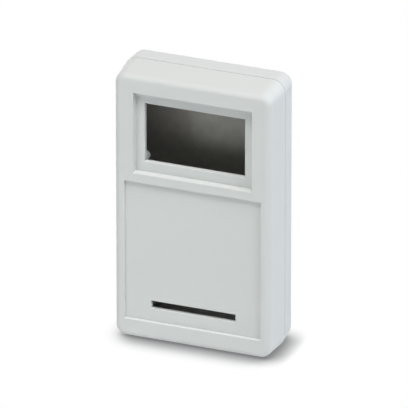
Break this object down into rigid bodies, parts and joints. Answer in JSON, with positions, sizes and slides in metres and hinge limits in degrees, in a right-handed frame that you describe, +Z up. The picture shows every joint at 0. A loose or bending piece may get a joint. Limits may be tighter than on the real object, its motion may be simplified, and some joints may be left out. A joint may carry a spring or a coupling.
{
  "type": "electronics enclosure",
  "caption": "Upright two-shell plastic enclosure for a handheld or wall unit, with a recessed display opening, a shallow keypad recess and a slot for the keypad's tail.",
  "frame": {"origin": "middle of the lower end, on the surface that the case stands on", "axes": "+Z up the case towards the display, -Y out of the front face, +X to the right seen from the front"},
  "size_m": [0.0868, 0.0322, 0.1497],
  "materials": {
    "housing": "fine matt texture, light grey",
    "screws": "zinc plated"
  },
  "bodies": {
    "root": {"front_shell": "housing", "rear_shell": "housing", "case_screws": "screws"}
  },
  "joints": []
}
